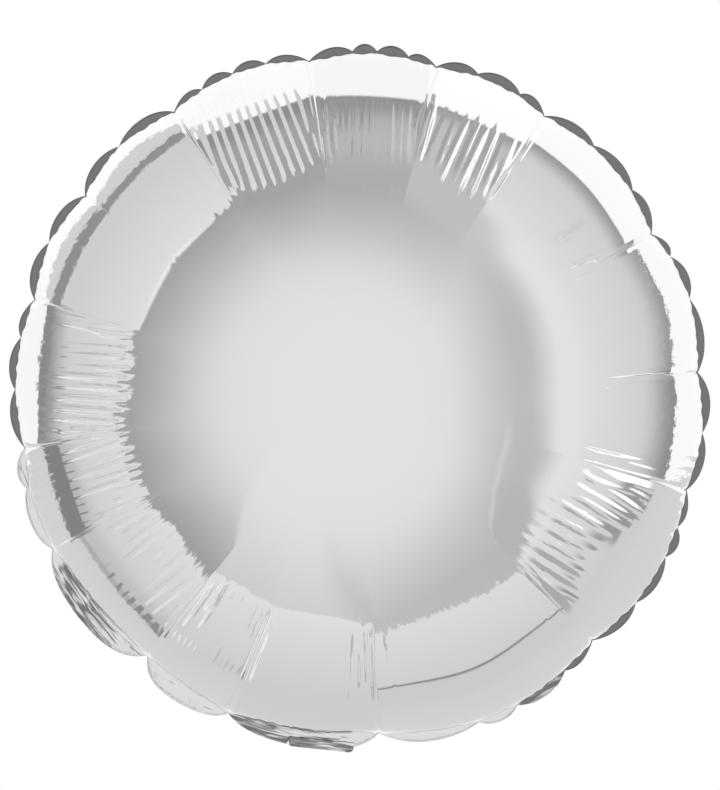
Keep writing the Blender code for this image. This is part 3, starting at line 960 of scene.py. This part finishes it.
# Handled stretches: from and to, how crumpled, and how much of it has painted highlights (glints painted into
# its colour)
CRUMPLES_AND_PAINTED_GLINTS = (
    (189, 206.7, 0.6, 0.80), (206.7, 209.5, 0.8, 0.80), (209.5, 225.5, 0.5, 0.52),
    (225.5, 231, 0.8, 0.75), (231, 247.8, 0.9, 0.85), (247.8, 256, 0.9, 0.48), (256, 262, 0.7, 0.60),
    (262, 268.5, 0.8, 0.62), (268.5, 273.6, 0.7, 0.95), (273.6, 297.3, 0.3, 1.0),
    (297.3, 306.5, 1.0, 0.38),
)
# Degrees on each side of a stretch's end over which it changes into the next
WELD_CHANGE = 1.6
# Dull pressed foil, darkened as painted shade, and the painted highlights (glints) of its crumpled
# stretches, and how long and wide a glint is
WELD_DULL_AND_SHADED_GREY = (0.262, 0.262, 0.267, 1)
WELD_PAINTED_GLINT = (0.86, 0.86, 0.865, 1)
GLINT_RUN = 0.0200
GLINT_WIDTH = 0.0024


def weld_net(name):
    """The weld's closed strip, with what its rule needs at each point."""
    angles = film_angles()
    columns = len(angles)
    outside = weld_edge(angles)
    film = film_edge(angles)
    inside = film - WELD_INSIDE
    turned = angles % 360
    crumpled = np.zeros(columns)
    # Share of each stretch that gets painted highlights: glints painted into the weld's colour
    painted_glint_share = np.zeros(columns)
    for start, end, amount, light in CRUMPLES_AND_PAINTED_GLINTS:
        begun = smooth_step(turned, start - WELD_CHANGE, start + WELD_CHANGE)
        within = begun - smooth_step(turned, end - WELD_CHANGE, end + WELD_CHANGE)
        crumpled += amount * within
        painted_glint_share += light * within
    radii, layers, frees = [], [], []
    outwards = range(WELD_ROWS + 1)
    for layer, order in ((-1.0, outwards), (1.0, outwards[::-1])):
        for k in order:
            radius = inside + (outside - inside) * k / WELD_ROWS
            radii.append(radius)
            layers.append(np.full(columns, layer))
            frees.append(smooth_step(radius, film - FILM_SHORT, np.maximum(outside, film + FILM_SHORT)))
    loops = len(radii)
    faces = []
    for loop in range(loops):
        a, b = loop * columns, (loop + 1) % loops * columns
        for k in range(columns):
            after = (k + 1) % columns
            faces.append((b + after, b + k, a + k, a + after))
    return new_net(name, faces, {
        "turn": np.tile(np.radians(angles), loops), "radius": np.concatenate(radii),
        "layer": np.concatenate(layers), "free": np.concatenate(frees),
        "crumple": np.tile(crumpled, loops), "painted_glint_share": np.tile(painted_glint_share, loops),
    })


def weld_rule():
    """Geometry Nodes tree that presses the weld flat and ripples its free edge."""
    sizes = ("Half thickness", "Ripple depth", "Ripple size", "Crumple depth", "Crumple size", "Seed")
    rule, given = new_rule("press rim weld", sizes)
    turn = stored(rule, "turn")
    radius = stored(rule, "radius")
    flat = round_place(rule, radius, turn)

    def waves(size, depth, detail):
        """Random waves, of a size and a depth that the rule is given."""
        scaled = add_node(rule, "ShaderNodeVectorMath", operation="SCALE")
        feed(rule, scaled.inputs[0], flat)
        feed(rule, scaled.inputs["Scale"], math_node(rule, "DIVIDE", 1.0, given[size]))
        noise = clouds(rule, "4D", Vector=scaled.outputs[0], W=given["Seed"], Scale=1.0, Detail=detail)
        return product(rule, math_node(rule, "SUBTRACT", noise, 0.5), given[depth])

    ripple = waves("Ripple size", "Ripple depth", 0.0)
    crumple = product(rule, waves("Crumple size", "Crumple depth", 1.5), stored(rule, "crumple"))
    off = product(rule, math_node(rule, "ADD", ripple, crumple), stored(rule, "free"))
    depth = math_node(rule, "ADD", product(rule, stored(rule, "layer"), given["Half thickness"]), off)
    end_rule(rule, given, round_place(rule, radius, turn, depth))
    return rule


# The weld's finish: its grey darkened as painted shade, and brightened into painted highlights (glints) on
# the crumpled stretches, with lower roughness there
weld_finish, tree, shader = new_finish("welded edge")
shader.inputs["Metallic"].default_value = 1.0
along = product(tree, surface_value(tree, "turn"), RIM_RADIUS / GLINT_RUN)
outwards = product(tree, surface_value(tree, "radius"), 1 / GLINT_WIDTH)
cloud = clouds(tree, Vector=vector_of(tree, along, outwards), Scale=1.0, Detail=2.5, Distortion=1.1)
painted_glint_share = surface_value(tree, "painted_glint_share")
level = math_node(tree, "ADD", cloud, math_node(tree, "MULTIPLY_ADD", painted_glint_share, 0.62, -0.31))
# Painted highlights: the colour is brightened into glints where the clouds rise
painted_glint = product(tree, rise(tree, level, 0.42, 0.60), rise(tree, painted_glint_share, 0.0, 0.15))
feed(tree, shader.inputs["Base Color"], blend_colours(tree, painted_glint, WELD_DULL_AND_SHADED_GREY, WELD_PAINTED_GLINT))
feed(tree, shader.inputs["Roughness"], math_node(tree, "MULTIPLY_ADD", painted_glint, -0.22, 0.36))

rim_weld = weld_net("rim_weld")
run_rule(rim_weld, weld_rule(), {
    "Half thickness": WELD_HALF, "Ripple depth": WELD_RIPPLE, "Ripple size": 0.014,
    "Crumple depth": 0.0035, "Crumple size": 0.005, "Seed": 4.0, "Finish": weld_finish,
})
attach(rim_weld, "envelope")
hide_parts("rim_seam")


# The tail: a flat neck of the same two films, folded back over the rim and lying against the
# back. Its long edges are welded, and a valve of two clear films lies loose between them. The
# outer film's mouth has a half-round notch where the filling nozzle finds the valve.
TAIL_WIDTH = 0.033
TAIL_ROOT_RUN = 0.010
TAIL_BEND_RUN = 0.036
TAIL_BEND_RADIUS = 0.100
TAIL_LENGTH = 0.074
TAIL_WELD_WIDTH = 0.004
NOTCH_RADIUS = 0.008
CORNER_RADIUS = 0.002
VALVE_SHORT = 0.003
TAIL_GAP = 0.0003
VALVE_UNDER = 0.00015
VALVE_OVER = 0.00055
FILM_UNDER = 0.00085
FILM_OVER = 0.00145
FOLD_RADIUS = NECK_EDGE + TAIL_GAP + FILM_OVER
TAIL_RIPPLE = 0.00035
TAIL_PINCH = 0.10
PINCH_RUN = 0.010
TAIL_SINK = 0.00018
TAIL_ROWS = 72
TAIL_COLUMNS = 40
RIB_PITCH = 0.0011
NECK_WRINKLE_RUN = 0.0170
NECK_WRINKLE_WIDTH = 0.0065
tail_half = TAIL_WIDTH / 2
seal_edge = tail_half - TAIL_WELD_WIDTH
valve_edge = seal_edge - TAIL_GAP


def tail_matrix():
    """The fold line's frame: X along the fold, Y backwards, Z outwards from the balloon."""
    outwards = Vector((cos(radians(TAIL_ANGLE)), 0, sin(radians(TAIL_ANGLE))))
    backwards = Vector((0, 1, 0))
    turn = Matrix((backwards.cross(outwards), backwards, outwards)).transposed().to_4x4()
    return Matrix.Translation(FOLD_RADIUS * outwards) @ turn


def tail_place(run, across, layer):
    """A point of the tail: run from the fold, across its width, layer outwards from its middle."""
    ripple = 0.6 * sin(run / 0.0083 + 1.1)
    ripple += 0.5 * sin(across / 0.0061 + run / 0.019)
    ripple += 0.22 * sin(run / 0.0037 - across / 0.011)
    layer += TAIL_RIPPLE * ripple * min(run / 0.02, 1.0) ** 2
    bend = min(max(run - TAIL_ROOT_RUN, 0.0), TAIL_BEND_RUN) / TAIL_BEND_RADIUS
    past = max(run - TAIL_ROOT_RUN - TAIL_BEND_RUN, 0.0)
    back = min(run, TAIL_ROOT_RUN) + TAIL_BEND_RADIUS * sin(bend) + past * cos(bend) + layer * sin(bend)
    inward = TAIL_BEND_RADIUS * (1 - cos(bend)) + past * sin(bend)
    return Vector((across, back, layer * cos(bend) - inward))


def pinched(run):
    """Width of the tail over its full width: the film is drawn together where it folds."""
    return 1 - TAIL_PINCH * (1 - smooth_step(run, 0.0, PINCH_RUN))


def mouth_run(across, notched):
    """How far a strip of the tail reaches from the fold at a place across it."""
    off = abs(across)
    if notched and off < NOTCH_RADIUS:
        return TAIL_LENGTH - sqrt(NOTCH_RADIUS ** 2 - off ** 2)
    corner = max(off - (tail_half - CORNER_RADIUS), 0.0)
    return TAIL_LENGTH - CORNER_RADIUS + sqrt(max(CORNER_RADIUS ** 2 - corner ** 2, 0.0))


def sheet_faces(wide, tall):
    """Faces of a closed sheet: a lower and an upper grid of points, joined round their border."""
    upper = wide * tall
    faces = []
    for k in range(tall - 1):
        for i in range(wide - 1):
            a = k * wide + i
            lower = (a, a + 1, a + wide + 1, a + wide)
            faces += [lower, tuple(upper + corner for corner in lower[::-1])]
    border = list(range(wide)) + [k * wide + wide - 1 for k in range(1, tall)]
    border += [upper - 1 - i for i in range(1, wide)] + [k * wide for k in range(tall - 2, 0, -1)]
    faces += [(b, a, upper + a, upper + b) for a, b in zip(border, border[1:] + border[:1])]
    return faces


def tail_sheet(name, low, high, left, right, sink=0, notched=False, rounded=True):
    """A closed strip of the tail between two layers and two edges, which sinks by the pressed edges."""
    matrix = tail_matrix()
    acrosses = list(np.linspace(left, right, TAIL_COLUMNS + 1))
    if notched:
        inside = [NOTCH_RADIUS * sin(pi / 2 * k / 9) for k in range(-9, 10)]
        acrosses = sorted([a for a in acrosses if abs(a) > NOTCH_RADIUS * 1.03] + inside)
    points, runs, offs = [], [], []
    for layer in (low, high):
        for k in range(TAIL_ROWS + 1):
            for across in acrosses:
                reach = mouth_run(across, notched) if rounded else TAIL_LENGTH - VALVE_SHORT
                run = reach * k / TAIL_ROWS
                pressed = smooth_step(abs(across), seal_edge - 0.0004, seal_edge + 0.0002)
                place = tail_place(run, across * pinched(run), layer - sink * TAIL_SINK * pressed)
                points.append(matrix @ place)
                runs.append(run / ARC_PER_LEAN)
                offs.append(across)
    faces = [face[::-1] for face in sheet_faces(len(acrosses), TAIL_ROWS + 1)]
    made = plain_mesh(name, points, faces)
    store(made.data, {"lean": runs, "across": offs, "crinkle": np.full(len(runs), 0.8)})
    made.data.set_sharp_from_angle(angle=radians(50))
    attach(made, "tail")
    return made


def cross_ribs(tree):
    """The fine cross ribs that the sealing bar leaves along the tail, from -1 to 1."""
    along = product(tree, surface_value(tree, "lean"), ARC_PER_LEAN * 2 * pi / RIB_PITCH)
    return math_node(tree, "SINE", along)


def neck_film():
    """The neck's film: the same foil, hazier and wrinkled, with ribs where its edges are sealed."""
    made, tree, shader = new_finish("neck film")
    shader.inputs["Metallic"].default_value = 0.7
    across = surface_value(tree, "across")
    sealed = rise(tree, math_node(tree, "ABSOLUTE", across), seal_edge - 0.0002, seal_edge + 0.0002)
    tone = blend_colours(tree, sealed, (0.86, 0.86, 0.865, 1), (0.62, 0.62, 0.625, 1))
    feed(tree, shader.inputs["Base Color"], tone)
    along = product(tree, surface_value(tree, "lean"), ARC_PER_LEAN / NECK_WRINKLE_RUN)
    place = vector_of(tree, product(tree, across, 1 / NECK_WRINKLE_WIDTH), along)
    wrinkle = clouds(tree, Vector=place, Scale=1.0, Detail=0.6, Distortion=0.6)
    ribs = product(tree, cross_ribs(tree), sealed, 0.07)
    raise_surface(tree, shader, math_node(tree, "ADD", wrinkle, ribs), 0.0007)
    feed(tree, shader.inputs["Roughness"], math_node(tree, "MULTIPLY_ADD", sealed, 0.18, 0.12))
    return made


def pressed_seam():
    """Heat-sealed film: duller than the rest, with the sealing bar's fine cross ribs."""
    made, tree, shader = new_finish("tail weld")
    shader.inputs["Base Color"].default_value = (0.52, 0.52, 0.525, 1)
    shader.inputs["Metallic"].default_value = 1.0
    raise_surface(tree, shader, cross_ribs(tree), 0.00008)
    grain = clouds(tree, Vector=on_piece(tree), Scale=420)
    feed(tree, shader.inputs["Roughness"], math_node(tree, "MULTIPLY_ADD", grain, 0.25, 0.22))
    return made


def clear_film():
    """Clear valve film: thin, glossy, faintly milky and creased."""
    made, tree, shader = new_finish("clear valve film")
    shader.inputs["Base Color"].default_value = (0.86, 0.88, 0.89, 1)
    shader.inputs["Alpha"].default_value = 0.5
    grain = clouds(tree, Vector=on_piece(tree), Scale=160, Detail=3.0)
    feed(tree, shader.inputs["Roughness"], math_node(tree, "MULTIPLY_ADD", grain, 0.3, 0.08))
    raise_surface(tree, shader, grain, 0.0002)
    return made


# The fold film: the neck's outer film where it leaves the rim weld and rolls over the fold onto
# the tail. Where it reaches the tail, its width eases to the tail's pinched width.
FOLD_FILM = 0.00018
FOLD_GAP = 0.0002
FOLD_START = -0.0030
FOLD_END = 0.009
FOLD_TURN = 0.0014
FOLD_ROWS = 36
FOLD_CORNER = 0.0026
FOLD_SLACK = 0.00012


def fold_film():
    """The fold film's closed sheet, along a path from the weld's front to the tail's outer side."""
    matrix = tail_matrix()
    front = -(WELD_HALF + WELD_RIPPLE + FOLD_GAP)
    over = FILM_OVER + FOLD_GAP
    path = [(front, FOLD_START), (front, over - FOLD_TURN)]
    for k in range(1, 9):
        turn = pi / 2 * k / 8
        path.append((front + FOLD_TURN * (1 - cos(turn)), over - FOLD_TURN + FOLD_TURN * sin(turn)))
    path.append((FOLD_END, over))
    steps = [sqrt((b[0] - a[0]) ** 2 + (b[1] - a[1]) ** 2) for a, b in zip(path, path[1:])]
    lengths = np.concatenate([[0], np.cumsum(steps)])
    places = np.linspace(0, lengths[-1], FOLD_ROWS + 1)
    backs = np.interp(places, lengths, [p[0] for p in path])
    layers = np.interp(places, lengths, [p[1] for p in path])
    acrosses = np.linspace(-tail_half, tail_half, TAIL_COLUMNS + 1)
    points, turned, along_path = [], [], []
    for thickness in (0, FOLD_FILM):
        for k in range(FOLD_ROWS + 1):
            ahead = min(k + 1, FOLD_ROWS)
            behind = max(k - 1, 0)
            along = Vector((0, backs[ahead] - backs[behind], layers[ahead] - layers[behind])).normalized()
            out = Vector((0, -along.z, along.y))
            below = max(FOLD_CORNER - (over - layers[k]), 0.0)
            width = tail_half - FOLD_CORNER + sqrt(max(FOLD_CORNER ** 2 - below ** 2, 0.0))
            narrowed = tail_half * pinched(max(backs[k], 0.0)) - width
            width += narrowed * smooth_step(backs[k], front + FOLD_TURN, 0.0025)
            for across in acrosses * width / tail_half:
                slack = FOLD_SLACK * (1 + sin(across / 0.0031 + k * 0.9)) * sin(pi * k / FOLD_ROWS) ** 2
                place = Vector((across, backs[k], layers[k])) + out * thickness + out * slack
                points.append(matrix @ place)
                turned.append(across / RIM_RADIUS)
                along_path.append(places[k])
    made = plain_mesh("tail_fold_film", points, sheet_faces(len(acrosses), FOLD_ROWS + 1))
    made.data.set_sharp_from_angle(angle=radians(60))
    # It wears the weld's finish with half a share of its painted highlights: glints painted into its colour
    made.data.materials.append(weld_finish)
    half_glint_and_crumple = np.full(len(points), 0.5)
    store(made.data, {"turn": turned, "radius": along_path, "painted_glint_share": half_glint_and_crumple, "crumple": half_glint_and_crumple})
    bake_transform(made)


fold_film()

# The tail's strips, from the outer film to the valve's: name, layers, edges, shape, finish, slot
# and the node that each stands for
neck_finish = neck_film()
seam_finish = pressed_seam()
valve_finish = clear_film()
TAIL_STRIPS = (
    ("tail_outer_film", (FILM_UNDER, FILM_OVER, -tail_half, tail_half), {"sink": 1, "notched": True},
     neck_finish, "silver_foil", "tail_outer_foil"),
    ("tail_inner_film", (-FILM_OVER, -FILM_UNDER, -tail_half, tail_half), {"sink": -1},
     neck_finish, "silver_foil", "tail_inner_foil"),
    ("tail_left_weld", (-VALVE_OVER, VALVE_OVER, -tail_half, -seal_edge), {},
     seam_finish, "welded_foil", "tail_left_seam"),
    ("tail_right_weld", (-VALVE_OVER, VALVE_OVER, seal_edge, tail_half), {},
     seam_finish, "welded_foil", "tail_right_seam"),
    ("valve_top_film", (VALVE_UNDER, VALVE_OVER, -valve_edge, valve_edge), {"rounded": False},
     valve_finish, "clear_valve_film", "valve_outer_film"),
    ("valve_bottom_film", (-VALVE_OVER, -VALVE_UNDER, -valve_edge, valve_edge), {"rounded": False},
     valve_finish, "clear_valve_film", "valve_inner_film"),
)
for name, limits, shape, finish, slot, node in TAIL_STRIPS:
    piece = tail_sheet(name, *limits, **shape)
    piece.data.materials.append(finish)
    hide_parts(node)
